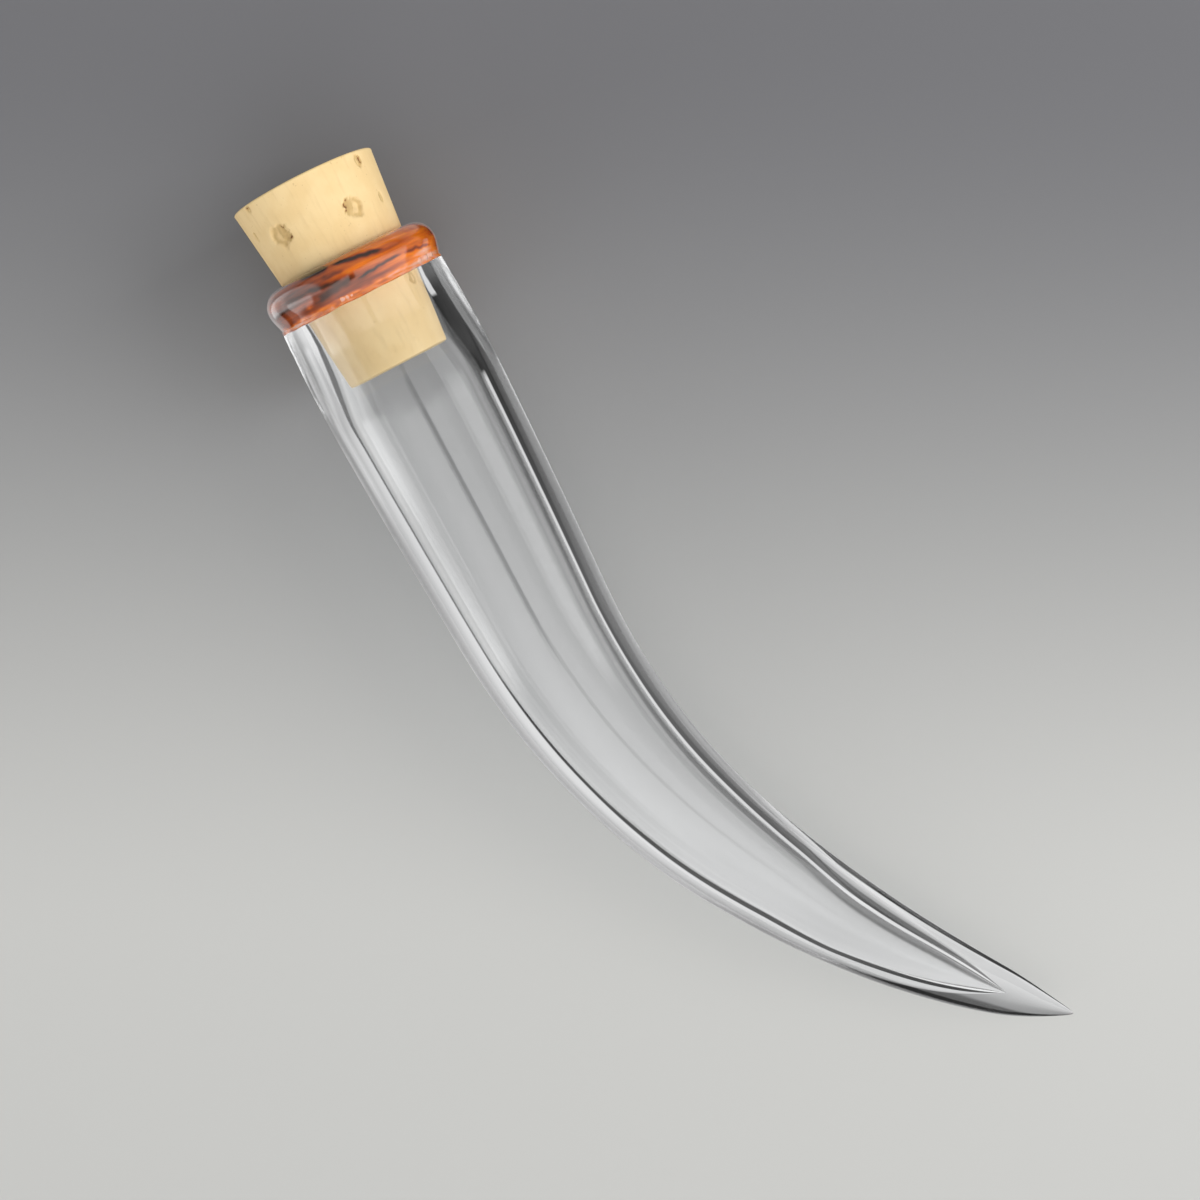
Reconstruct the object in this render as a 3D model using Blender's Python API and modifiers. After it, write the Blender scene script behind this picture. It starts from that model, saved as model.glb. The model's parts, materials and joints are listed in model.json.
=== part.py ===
"""A corked horn vial of clear glass, lying on its side.

The glass is one heavy-walled tube that tapers and bends to a solid point. A ring of coloured glass is
fused on its mouth, and a tapered cork plugs it. The horn is drawn in its own frame first: the mouth
plane at the origin, the straight part of the tube along +X and the bend towards +Y. It is then laid
down as it rests on a table. Distances along the horn are measured from the mouth plane to the tip,
and negative ones lie in front of the mouth.
"""

import math

import bmesh
import bpy
from mathutils import Matrix, Vector
from mathutils.geometry import intersect_point_tri

# Driving dimensions, in metres and degrees
STRAIGHT_LENGTH = 0.0487
FIRST_BEND_RADIUS = 0.115
FIRST_BEND_ANGLE = 24.6
SECOND_BEND_RADIUS = 0.205
SECOND_BEND_ANGLE = 18.9
BARREL_DIAMETER = 0.0240
BARREL_AT = 0.014
BARREL_WALL = 0.0028
NECK_WALL = 0.00318
SOLID_TIP_LENGTH = 0.0125
WAIST_AT = 0.0035
FLARE_END = 0.0155
LIP_OVERHANG = 0.0005
LIP_HEIGHT = 0.0048
LIP_CROWN_RADIUS = 0.0023
LIP_HEEL_RADIUS = 0.0010
LIP_MOUTH_RADIUS = 0.0006
CORK_TOP_DIAMETER = 0.0190
CORK_BOTTOM_DIAMETER = 0.0140
CORK_LENGTH = 0.0244
CORK_PROUD = 0.0101
CORK_EDGE_RADIUS = 0.0004

# Clearances
CORK_CLEARANCE = 0.0002
LIP_SEAT_GAP = 0.0003

# Shape of the taper: a higher swell keeps the horn full for longer, a lower point makes its end blunter
TAPER_SWELL = 1.5
OUTER_POINT = 0.57
CAVITY_POINT = 0.68

# How finely the round shapes are divided
ROUND_STEPS = 48
HORN_STATIONS = 34
CAVITY_STATIONS = 26
CORNER_STEPS = 4
GUIDE_STEPS = 96
MERGE_DISTANCE = 0.000001

HORN_LENGTH = (
    STRAIGHT_LENGTH
    + FIRST_BEND_RADIUS * math.radians(FIRST_BEND_ANGLE)
    + SECOND_BEND_RADIUS * math.radians(SECOND_BEND_ANGLE)
)
CAVITY_LENGTH = HORN_LENGTH - SOLID_TIP_LENGTH
CORK_TOP_AT = -(LIP_HEIGHT + CORK_PROUD)
CORK_BOTTOM_AT = CORK_TOP_AT + CORK_LENGTH

# Densities in kg per cubic metre, which decide how the horn lies
GLASS_DENSITY = 2230.0
CORK_DENSITY = 200.0

GLASS_COLOUR = (0.93, 0.95, 0.96, 1.0)
LIP_COLOUR = (0.55, 0.14, 0.04, 1.0)
CORK_COLOUR = (0.83, 0.62, 0.36, 1.0)


def clear_scene():
    """Empties the file, so that the script can be run again."""
    for item in list(bpy.data.objects):
        bpy.data.objects.remove(item)


def make_collection(name):
    """A collection of that name in the scene."""
    collection = bpy.data.collections.get(name) or bpy.data.collections.new(name)
    if collection.name not in bpy.context.scene.collection.children:
        bpy.context.scene.collection.children.link(collection)
    return collection


def make_material(name, colour, roughness, transmission=0.0, ior=1.45):
    """A Principled material with plain values."""
    material = bpy.data.materials.new(name)
    material.use_nodes = True
    shader = material.node_tree.nodes["Principled BSDF"]
    shader.inputs["Base Color"].default_value = colour
    shader.inputs["Roughness"].default_value = roughness
    shader.inputs["Metallic"].default_value = 0.0
    shader.inputs["Transmission Weight"].default_value = transmission
    shader.inputs["IOR"].default_value = ior
    return material


def eased(t):
    """Rises from 0 to 1 with a level start and end."""
    t = min(max(t, 0.0), 1.0)
    return t * t * (3.0 - 2.0 * t)


def tapered(distance, start, end, point):
    """The share of its full width that a tapering shape still has at a distance along the horn."""
    t = min(max((distance - start) / (end - start), 0.0), 1.0)
    return (1.0 - t**TAPER_SWELL) ** point


def cork_radius(distance):
    """The radius of the cork's tapered side."""
    share = (distance - CORK_TOP_AT) / CORK_LENGTH
    return CORK_TOP_DIAMETER / 2 + share * (CORK_BOTTOM_DIAMETER - CORK_TOP_DIAMETER) / 2


def seat_radius(distance):
    """The radius of the glass that grips the cork."""
    return cork_radius(distance) + CORK_CLEARANCE


def neck_radius():
    """The outer radius of the glass at the mouth plane."""
    return seat_radius(0.0) + NECK_WALL


def horn_radius(distance):
    """The outer radius of the glass."""
    barrel = BARREL_DIAMETER / 2
    if distance < BARREL_AT:
        rise = math.sin(math.pi / 2 * distance / BARREL_AT)
        return neck_radius() + (barrel - neck_radius()) * rise
    return barrel * tapered(distance, BARREL_AT, HORN_LENGTH, OUTER_POINT)


def cavity_radius(distance):
    """The inner radius of the glass: a seat for the cork, a flare below it, and the tapering hollow."""
    waist = seat_radius(min(distance, WAIST_AT))
    widest = BARREL_DIAMETER / 2 - BARREL_WALL
    if distance < FLARE_END:
        flare = eased((distance - WAIST_AT) / (FLARE_END - WAIST_AT))
        radius = waist + (widest - waist) * flare
    else:
        radius = widest * tapered(distance, FLARE_END, CAVITY_LENGTH, CAVITY_POINT)
    if distance < CORK_BOTTOM_AT:
        return max(radius, seat_radius(distance))
    return radius


def stations(end, count):
    """Distances from the mouth plane to an end, closer together towards that end."""
    return [end * (1.0 - (1.0 - i / count) ** 2) for i in range(count + 1)]


def corner(centre_x, centre_z, radius, start, end):
    """Points of a rounded corner, by its centre and its start and end angles in degrees."""
    points = []
    for i in range(CORNER_STEPS + 1):
        angle = math.radians(start + (end - start) * i / CORNER_STEPS)
        points.append((centre_x + radius * math.cos(angle), centre_z + radius * math.sin(angle)))
    return points


def turned(name, outline, collection, material):
    """A solid turned round the local Z axis from an outline of radius and height, outer side downward."""
    mesh = bpy.data.meshes.new(name)
    edges = [(i, i + 1) for i in range(len(outline) - 1)]
    mesh.from_pydata([(x, 0.0, z) for x, z in outline], edges, [])
    mesh.materials.append(material)
    item = bpy.data.objects.new(name, mesh)
    collection.objects.link(item)
    screw = item.modifiers.new("turn", "SCREW")
    screw.axis = "Z"
    screw.angle = 2 * math.pi
    screw.steps = ROUND_STEPS
    screw.render_steps = ROUND_STEPS
    screw.use_merge_vertices = True
    screw.merge_threshold = MERGE_DISTANCE
    screw.use_smooth_shade = True
    return item


def guide_points():
    """Points of the horn's centre line: a straight part and two bends, each gentler than the last."""
    points = []
    place = Vector((0.0, 0.0, 0.0))
    heading = 0.0
    step = HORN_LENGTH / GUIDE_STEPS
    first_bend_end = STRAIGHT_LENGTH + FIRST_BEND_RADIUS * math.radians(FIRST_BEND_ANGLE)
    for i in range(GUIDE_STEPS + 1):
        points.append(place.copy())
        middle = (i + 0.5) * step
        if middle < STRAIGHT_LENGTH:
            turn = 0.0
        elif middle < first_bend_end:
            turn = step / FIRST_BEND_RADIUS
        else:
            turn = step / SECOND_BEND_RADIUS
        heading += turn / 2
        place += step * Vector((math.cos(heading), math.sin(heading), 0.0))
        heading += turn / 2
    return points


def make_guide(collection):
    """The hidden curve that the glass is bent along."""
    curve = bpy.data.curves.new("centre_line", "CURVE")
    curve.dimensions = "3D"
    curve.twist_mode = "Z_UP"
    points = guide_points()
    spline = curve.splines.new("POLY")
    spline.points.add(len(points) - 1)
    for point, place in zip(spline.points, points, strict=True):
        point.co = (place.x, place.y, place.z, 1.0)
    guide = bpy.data.objects.new("centre_line", curve)
    guide.hide_render = True
    guide.display_type = "WIRE"
    collection.objects.link(guide)
    return guide


def make_vial(collection, guide):
    """The clear glass: turned straight, from the end of its cavity over the rim to the tip, then bent."""
    cavity = [(cavity_radius(s), -s) for s in reversed(stations(CAVITY_LENGTH, CAVITY_STATIONS))]
    outside = [(horn_radius(s), -s) for s in stations(HORN_LENGTH, HORN_STATIONS)]
    glass = make_material("clear_glass", GLASS_COLOUR, 0.0, transmission=1.0, ior=1.47)
    vial = turned("vial_body", cavity + outside, collection, glass)
    bend = vial.modifiers.new("bend", "CURVE")
    bend.object = guide
    bend.deform_axis = "NEG_Z"
    return vial


def make_lip(collection):
    """The coloured ring on the mouth. Its bore follows the cork, and its crown is broadly rounded."""
    outer = neck_radius() + LIP_OVERHANG
    top_bore = seat_radius(-LIP_HEIGHT)
    widest_crown = outer - top_bore - LIP_MOUTH_RADIUS
    tallest_crown = LIP_HEIGHT - LIP_SEAT_GAP - LIP_HEEL_RADIUS
    round_over = min(LIP_CROWN_RADIUS, widest_crown, tallest_crown)
    foot = (seat_radius(-LIP_SEAT_GAP), LIP_SEAT_GAP)
    mouth = corner(top_bore + LIP_MOUTH_RADIUS, LIP_HEIGHT - LIP_MOUTH_RADIUS, LIP_MOUTH_RADIUS, 180, 90)
    crown = corner(outer - round_over, LIP_HEIGHT - round_over, round_over, 90, 0)
    heel = corner(outer - LIP_HEEL_RADIUS, LIP_SEAT_GAP + LIP_HEEL_RADIUS, LIP_HEEL_RADIUS, 0, -90)
    glass = make_material("amber_glass", LIP_COLOUR, 0.05, transmission=0.3, ior=1.47)
    return turned("lip_ring", [foot] + mouth + crown + heel + [foot], collection, glass)


def make_cork(collection):
    """The tapered stopper, with its edges eased."""
    top = -CORK_TOP_AT
    bottom = -CORK_BOTTOM_AT
    edge = CORK_EDGE_RADIUS
    upper = corner(cork_radius(CORK_TOP_AT + edge) - edge, top - edge, edge, 90, 0)
    lower = corner(cork_radius(CORK_BOTTOM_AT - edge) - edge, bottom + edge, edge, 0, -90)
    outline = [(0.0, top)] + upper + lower + [(0.0, bottom)]
    cork = make_material("cork", CORK_COLOUR, 0.85)
    return turned("cork_stopper", outline, collection, cork)


def world_mesh(item):
    """A copy of an object's evaluated mesh, in world space."""
    shape = item.evaluated_get(bpy.context.evaluated_depsgraph_get())
    mesh = bpy.data.meshes.new_from_object(shape)
    mesh.transform(item.matrix_world)
    return mesh


def centre_of_mass(densities):
    """Where the pieces balance, from each piece's density."""
    mass = 0.0
    moment = Vector((0.0, 0.0, 0.0))
    for piece, density in densities.items():
        mesh = world_mesh(piece)
        mesh.calc_loop_triangles()
        for triangle in mesh.loop_triangles:
            a, b, c = (mesh.vertices[i].co for i in triangle.vertices)
            wedge = density * a.dot(b.cross(c)) / 6
            mass += wedge
            moment += wedge * (a + b + c) / 4
        bpy.data.meshes.remove(mesh)
    return moment / mass


def resting_turn(densities):
    """The rotation that lays the pieces on the face of their hull that they balance on, tube along X."""
    centre = centre_of_mass(densities)
    hull = bmesh.new()
    for piece in densities:
        mesh = world_mesh(piece)
        hull.from_mesh(mesh)
        bpy.data.meshes.remove(mesh)
    made = bmesh.ops.convex_hull(hull, input=hull.verts)
    faces = [g for g in made["geom"] if isinstance(g, bmesh.types.BMFace)]
    below = [f for f in faces if f.normal.z < -0.5]
    stable = []
    for face in below:
        height = (face.verts[0].co - centre).dot(face.normal)
        foot = centre + height * face.normal
        if intersect_point_tri(foot, *(v.co for v in face.verts)):
            stable.append((height, face.normal.copy()))
    hull.free()
    down = min(stable, key=lambda found: found[0])[1]
    lay = down.rotation_difference(Vector((0.0, 0.0, -1.0))).to_matrix()
    along = lay @ Vector((1.0, 0.0, 0.0))
    swing = Matrix.Rotation(-math.atan2(along.y, along.x), 3, "Z")
    return (swing @ lay).to_4x4()


def to_bottom_centre(pieces):
    """The move that brings the centre of the pieces' base to the origin."""
    corners = []
    for piece in pieces:
        mesh = world_mesh(piece)
        corners += [v.co.copy() for v in mesh.vertices]
        bpy.data.meshes.remove(mesh)
    low = Vector(min(c[axis] for c in corners) for axis in range(3))
    high = Vector(max(c[axis] for c in corners) for axis in range(3))
    return Matrix.Translation((-(low.x + high.x) / 2, -(low.y + high.y) / 2, -low.z))


def main():
    clear_scene()
    parts = make_collection("corked_horn_vial")
    guides = make_collection("guides")
    horn = bpy.data.objects.new("horn", None)
    mouth = bpy.data.objects.new("mouth", None)
    parts.objects.link(horn)
    parts.objects.link(mouth)
    mouth.parent = horn
    mouth.rotation_euler = (0.0, -math.pi / 2, 0.0)

    guide = make_guide(guides)
    vial = make_vial(parts, guide)
    lip = make_lip(parts)
    cork = make_cork(parts)
    guide.parent = horn
    vial.parent = horn
    lip.parent = mouth
    cork.parent = mouth

    bpy.context.view_layer.update()
    densities = {vial: GLASS_DENSITY, lip: GLASS_DENSITY, cork: CORK_DENSITY}
    horn.matrix_world = resting_turn(densities)
    bpy.context.view_layer.update()
    horn.matrix_world = to_bottom_centre([vial, lip, cork]) @ horn.matrix_world


main()
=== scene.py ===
"""The looks of the corked horn vial: clear glass, a streaked amber ring on its mouth, and a natural cork.

Every shape is drawn in the horn's own frame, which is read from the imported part: the mouth plane at the
origin, the straight part of the tube along +X, and the bend towards +Y. Distances along the horn are
measured from the mouth plane to the tip, and negative ones lie in front of the mouth. Angles round the
horn start at +Y and turn towards +Z. All sizes are in metres.
"""

import json
import math
from itertools import pairwise

import bmesh
import bpy
from mathutils import Matrix, Vector, noise


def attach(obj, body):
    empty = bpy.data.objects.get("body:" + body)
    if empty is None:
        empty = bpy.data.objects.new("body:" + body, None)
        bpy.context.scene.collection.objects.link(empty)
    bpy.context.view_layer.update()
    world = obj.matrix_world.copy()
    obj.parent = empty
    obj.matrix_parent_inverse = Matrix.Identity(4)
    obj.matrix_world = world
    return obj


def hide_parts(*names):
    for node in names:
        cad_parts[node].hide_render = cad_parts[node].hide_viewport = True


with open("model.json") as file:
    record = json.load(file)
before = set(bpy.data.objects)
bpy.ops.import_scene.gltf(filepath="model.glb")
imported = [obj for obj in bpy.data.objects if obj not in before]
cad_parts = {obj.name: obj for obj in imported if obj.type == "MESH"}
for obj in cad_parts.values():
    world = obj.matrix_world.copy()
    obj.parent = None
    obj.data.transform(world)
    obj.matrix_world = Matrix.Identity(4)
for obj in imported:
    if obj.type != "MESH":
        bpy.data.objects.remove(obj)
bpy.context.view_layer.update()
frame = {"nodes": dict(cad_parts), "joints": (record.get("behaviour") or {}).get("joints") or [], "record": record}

# Sizes of the glass, the ring and the cork
STRAIGHT_LENGTH = 0.0487
FIRST_BEND_RADIUS = 0.115
FIRST_BEND_ANGLE = math.radians(24.6)
SECOND_BEND_RADIUS = 0.205
SECOND_BEND_ANGLE = math.radians(18.9)
BARREL_DIAMETER = 0.0240
BARREL_AT = 0.014
BARREL_WALL = 0.0028
NECK_WALL = 0.00318
SOLID_TIP_LENGTH = 0.0125
WAIST_AT = 0.0035
FLARE_END = 0.0155
LIP_OVERHANG = 0.0005
LIP_HEIGHT = 0.0048
CORK_TOP_DIAMETER = 0.0190
CORK_BOTTOM_DIAMETER = 0.0140
CORK_LENGTH = 0.0244
CORK_PROUD = 0.0101
CORK_CLEARANCE = 0.0002
TAPER_SWELL = 1.5
OUTER_POINT = 0.57
CAVITY_POINT = 0.68

# Where the glass differs slightly from the evenly tapered part: the tip is set back to stay inside the
# part's box and ends slimmer, and the end of the hollow is shorter and slimmer. On its way there the hollow
# nears the outer side of the bend and rises, and further on the shift and most of the rise are undone
TIP_SET_BACK = 0.0003
TIP_SLIMS_AT = 0.150
TIP_SLIMMED = 0.45
HOLLOW_SET_BACK = 0.0025
HOLLOW_SLIMS_AT = 0.130
HOLLOW_SLIMMED = 0.55
HOLLOW_SHIFT = 0.0003
HOLLOW_SHIFTS_AT = 0.105
HOLLOW_SHIFTS_OVER = 0.015
HOLLOW_RAISED = 0.0007
HOLLOW_RISES_AT = 0.085
HOLLOW_RISES_OVER = 0.042
HOLLOW_RETURNS_AT = 0.118
SHIFT_UNDONE = 1.1
SHIFT_UNDONE_OVER = 0.032
RISE_UNDONE = 0.7
RISE_UNDONE_OVER = 0.034
CORK_INSET = 0.00002

FIRST_BEND_END = STRAIGHT_LENGTH + FIRST_BEND_RADIUS * FIRST_BEND_ANGLE
HORN_LENGTH = FIRST_BEND_END + SECOND_BEND_RADIUS * SECOND_BEND_ANGLE - TIP_SET_BACK
CAVITY_LENGTH = HORN_LENGTH + TIP_SET_BACK - SOLID_TIP_LENGTH - HOLLOW_SET_BACK
CORK_TOP_AT = -(LIP_HEIGHT + CORK_PROUD)
CORK_BOTTOM_AT = CORK_TOP_AT + CORK_LENGTH

# The camera, as the photograph was taken, in the horn's frame
CAMERA_PLACE = Vector((0.00170, 0.00917, 0.1626))
CAMERA_FORWARD = Vector((0.292, 0.001, -0.957))
CAMERA_RIGHT = Vector((0.435, 0.890, 0.134))
CAMERA_LENS = 36.2
CAMERA_SENSOR = 36.0


def horn_frame():
    """The horn's frame in the row frame, from the cork's joint, the mount on its end and the glass tip."""
    along = -Vector(frame["joints"][0]["axis"]).normalized()
    cork_top = Vector(frame["record"]["mounts"][0]["pos_m"])
    origin = cork_top - along * CORK_TOP_AT
    places = [v.co for v in frame["nodes"]["vial_body"].data.vertices]
    tip = max(places, key=lambda place: (place - origin).dot(along)) - origin
    bend = (tip - along * tip.dot(along)).normalized()
    upward = along.cross(bend)
    turn = Matrix((along, bend, upward)).transposed().to_4x4()
    return Matrix.Translation(origin) @ turn


HORN = horn_frame()
HORN_TURN = HORN.to_3x3()


def eased(t):
    """Rises from 0 to 1 with a level start and end."""
    t = min(max(t, 0.0), 1.0)
    return t * t * (3.0 - 2.0 * t)


def tapered(distance, start, end, point):
    """The share of its full width that a tapering shape still has at a distance along the horn."""
    t = min(max((distance - start) / (end - start), 0.0), 1.0)
    return (1.0 - t**TAPER_SWELL) ** point


def cork_radius(distance):
    """The radius of the cork's tapered side."""
    share = (distance - CORK_TOP_AT) / CORK_LENGTH
    return CORK_TOP_DIAMETER / 2 + share * (CORK_BOTTOM_DIAMETER - CORK_TOP_DIAMETER) / 2


def seat_radius(distance):
    """The radius of the glass that grips the cork."""
    return cork_radius(distance) + CORK_CLEARANCE


def neck_radius():
    """The outer radius of the glass at the mouth plane."""
    return seat_radius(0.0) + NECK_WALL


def horn_radius(distance):
    """The outer radius of the glass."""
    barrel = BARREL_DIAMETER / 2
    if distance < BARREL_AT:
        rise = math.sin(math.pi / 2 * distance / BARREL_AT)
        return neck_radius() + (barrel - neck_radius()) * rise
    radius = barrel * tapered(distance, BARREL_AT, HORN_LENGTH, OUTER_POINT)
    if distance > TIP_SLIMS_AT:
        radius *= 1.0 - TIP_SLIMMED * ((distance - TIP_SLIMS_AT) / (HORN_LENGTH - TIP_SLIMS_AT)) ** 2
    return radius


def cavity_radius(distance):
    """The inner radius of the glass: a seat for the cork, a flare below it, and the tapering hollow."""
    waist = seat_radius(min(distance, WAIST_AT))
    widest = BARREL_DIAMETER / 2 - BARREL_WALL
    if distance < FLARE_END:
        flare = eased((distance - WAIST_AT) / (FLARE_END - WAIST_AT))
        radius = waist + (widest - waist) * flare
    else:
        radius = widest * tapered(distance, FLARE_END, CAVITY_LENGTH, CAVITY_POINT)
    if distance > HOLLOW_SLIMS_AT:
        t = (distance - HOLLOW_SLIMS_AT) / (CAVITY_LENGTH - HOLLOW_SLIMS_AT)
        radius *= 1.0 - HOLLOW_SLIMMED * t**4
    if distance < CORK_BOTTOM_AT:
        return max(radius, seat_radius(distance))
    return radius


def centre_line(distance):
    """The place of the horn's centre line and its heading, in the horn's plane."""
    if distance < STRAIGHT_LENGTH:
        return Vector((distance, 0.0, 0.0)), 0.0
    if distance < FIRST_BEND_END:
        heading = (distance - STRAIGHT_LENGTH) / FIRST_BEND_RADIUS
        x = STRAIGHT_LENGTH + FIRST_BEND_RADIUS * math.sin(heading)
        y = FIRST_BEND_RADIUS * (1.0 - math.cos(heading))
        return Vector((x, y, 0.0)), heading
    first = FIRST_BEND_ANGLE
    heading = first + (distance - FIRST_BEND_END) / SECOND_BEND_RADIUS
    x = STRAIGHT_LENGTH + FIRST_BEND_RADIUS * math.sin(first)
    y = FIRST_BEND_RADIUS * (1.0 - math.cos(first))
    x += SECOND_BEND_RADIUS * (math.sin(heading) - math.sin(first))
    y += SECOND_BEND_RADIUS * (math.cos(first) - math.cos(heading))
    return Vector((x, y, 0.0)), heading


def on_horn(distance, radius, angle):
    """A point beside the centre line, at a radius and an angle round it."""
    place, heading = centre_line(distance)
    across = Vector((-math.sin(heading), math.cos(heading), 0.0))
    return place + radius * (math.cos(angle) * across + math.sin(angle) * Vector((0.0, 0.0, 1.0)))


def in_hollow(distance, radius, angle):
    """The same beside the hollow's own centre line, which strays a little from the horn's in the taper."""
    shift = HOLLOW_SHIFT * eased((distance - HOLLOW_SHIFTS_AT) / HOLLOW_SHIFTS_OVER)
    shift *= 1.0 - SHIFT_UNDONE * eased((distance - HOLLOW_RETURNS_AT) / SHIFT_UNDONE_OVER)
    aside = on_horn(distance, -shift, 0.0) - on_horn(distance, 0.0, 0.0)
    raised = HOLLOW_RAISED * eased((distance - HOLLOW_RISES_AT) / HOLLOW_RISES_OVER)
    raised *= 1.0 - RISE_UNDONE * eased((distance - HOLLOW_RETURNS_AT) / RISE_UNDONE_OVER)
    return on_horn(distance, radius, angle) + aside + Vector((0.0, 0.0, raised))


def around_mouth(distance, radius, angle):
    """A point beside the straight part's centre line, in front of the mouth too."""
    return Vector((distance, radius * math.cos(angle), radius * math.sin(angle)))


def turned(angle, degrees):
    """How far an angle is past a place given in degrees, from minus half a turn to half a turn."""
    return (angle - math.radians(degrees) + math.pi) % (2.0 * math.pi) - math.pi


def bell(value, middle, width):
    """1 where a value is in the middle, and less the further it is from there."""
    return math.exp(-(((value - middle) / width) ** 2))


# Each seed takes its noise from a place of its own
SEED_STEPS = (7.31, 3.17, 5.71)


def wave(seed, size, *place):
    """Smooth noise between -1 and 1 that changes over about that size."""
    return noise.noise(Vector(place) / size + Vector([seed * step for step in SEED_STEPS]))


def skinned(name, rings, closed, tones=None):
    """A mesh from rings of points in the horn's frame, which it keeps as the attribute "place".

    A ring of one point is a pole, and closed joins the last ring to the first. The tones of the points, in
    the same order, become the attribute "tone".
    """
    built = bmesh.new()
    made = [[built.verts.new(point) for point in ring] for ring in rings]
    pairs = list(pairwise(made))
    if closed:
        pairs.append((made[-1], made[0]))
    for first, second in pairs:
        count = max(len(first), len(second))
        for i in range(count):
            j = (i + 1) % count
            corners = [first[i % len(first)], first[j % len(first)]]
            corners += [second[j % len(second)], second[i % len(second)]]
            built.faces.new(list(dict.fromkeys(corners)))
    bmesh.ops.recalc_face_normals(built, faces=built.faces)
    if built.calc_volume(signed=True) < 0.0:
        bmesh.ops.reverse_faces(built, faces=built.faces)
    mesh = bpy.data.meshes.new(name)
    built.to_mesh(mesh)
    built.free()
    places = [number for vertex in mesh.vertices for number in vertex.co]
    mesh.attributes.new("place", "FLOAT_VECTOR", "POINT").data.foreach_set("vector", places)
    if tones:
        mesh.attributes.new("tone", "FLOAT", "POINT").data.foreach_set("value", tones)
    mesh.transform(HORN)
    mesh.shade_smooth()
    item = bpy.data.objects.new(name, mesh)
    bpy.context.scene.collection.objects.link(item)
    return item


def shortened(start, end, count):
    """Distances from start to end, closer together towards the end."""
    return [start + (end - start) * (1.0 - (1.0 - i / count) ** 2) for i in range(count + 1)]


# The clear glass. Its waves set in over a stretch of the horn, and below a calm radius they shrink with it
GLASS_STEPS = 180
CAVITY_RINGS = 170
OUTSIDE_RINGS = 190
CAD_ROUND_STEPS = 48
FACET_ALLOWANCE = math.cos(math.pi / CAD_ROUND_STEPS)
RIM_SHARPNESS = math.radians(50)
WAVE_LENGTH = 0.016
OUTER_WAVE = 0.000035
OUTER_WAVE_OVER = 0.010
OUTER_CALM_RADIUS = 0.006
CAVITY_WAVE = 0.00005
CAVITY_WAVE_FROM = 0.018
CAVITY_WAVE_OVER = 0.03
CAVITY_CALM_RADIUS = 0.004


def outer_glass(distance, angle):
    """The outer surface with the slight waves of flame-worked glass, inside the flats of the CAD solid."""
    radius = horn_radius(distance) * FACET_ALLOWANCE
    here = on_horn(distance, radius, angle)
    settle = eased(distance / OUTER_WAVE_OVER) * min(1.0, radius / OUTER_CALM_RADIUS)
    return radius + OUTER_WAVE * settle * (wave(1, WAVE_LENGTH, *here) - 1.0)


def inner_glass(distance, angle):
    """The inner surface, which is wavier in the bend and the taper, where the glass was drawn out."""
    radius = cavity_radius(distance)
    here = on_horn(distance, radius, angle)
    settle = eased((distance - CAVITY_WAVE_FROM) / CAVITY_WAVE_OVER) * min(1.0, radius / CAVITY_CALM_RADIUS)
    return radius + CAVITY_WAVE * settle * wave(2, WAVE_LENGTH, *here)


def make_vial():
    """The clear glass as one closed surface: the hollow from its end to the rim, then the outside."""
    angles = [2.0 * math.pi * i / GLASS_STEPS for i in range(GLASS_STEPS)]
    rings = [[in_hollow(CAVITY_LENGTH, 0.0, 0.0)]]
    for distance in reversed(shortened(0.0, CAVITY_LENGTH, CAVITY_RINGS)[:-1]):
        rings.append([in_hollow(distance, inner_glass(distance, angle), angle) for angle in angles])
    for distance in shortened(0.0, HORN_LENGTH, OUTSIDE_RINGS)[:-1]:
        rings.append([on_horn(distance, outer_glass(distance, angle), angle) for angle in angles])
    rings.append([on_horn(HORN_LENGTH, 0.0, 0.0)])
    vial = skinned("clear_glass_horn", rings, closed=False)
    vial.data.set_sharp_from_angle(angle=RIM_SHARPNESS)
    return vial


# The ring of coloured glass. Its outline is a list of distance, radius and path, and a path is the way over
# its surface from its crown's inner edge
LIP_STEPS = 480
LIP_SUNK = 0.00035
LIP_PATH = 0.006
CROWN = 0.0023
CROWN_STEPS = 30
SIDE_STEPS = 24
SIDE_CURVE = 1.2
MOUTH_EDGE = 0.0006
MOUTH_EDGE_STEPS = 6
BORE_STATIONS = (-0.0016, -0.0032)
BORE_FOOT_OUT = 0.0004
HEEL_IN = 0.0001
FOOT_IN = 0.0006
FOOT_DOWN = 0.0001

# Its uneven outside: bulges all over, and a ragged lower edge
OUTSIDE_FROM = 0.0008
OUTSIDE_OVER = 0.0015
NOISE_LENGTH = 0.004
BULGE_HEIGHT = 0.00012
BULGE_SIZE = 0.7
BULGE_TOP = 0.6
RAGGED_HEIGHT = 0.00012
RAGGED_SIZE = 0.22
RAGGED_OVER = 0.002

# Its tone: darker and lighter bands wound round it, painted light that makes it lightest on the side towards
# the key lamp, and deeper towards the lower edge, where it ends in pale patches
TONE_MIDDLE = 0.52
PAINTED_LIT_SIDE_TONE = 0.20
PAINTED_LIT_SIDE_AT = 0.2
TONE_DEEPENS = 0.04
BAND_STRENGTH = 0.34
BAND_WIDTH = 0.0011
BANDS_AROUND = 1.5
PALE_OVER = 0.0009
PALE_MIDDLE = 0.45
PALE_PATCHES = 0.5
PALE_PATCH_SIZE = 0.09
PALE_TONE = 1.05

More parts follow.
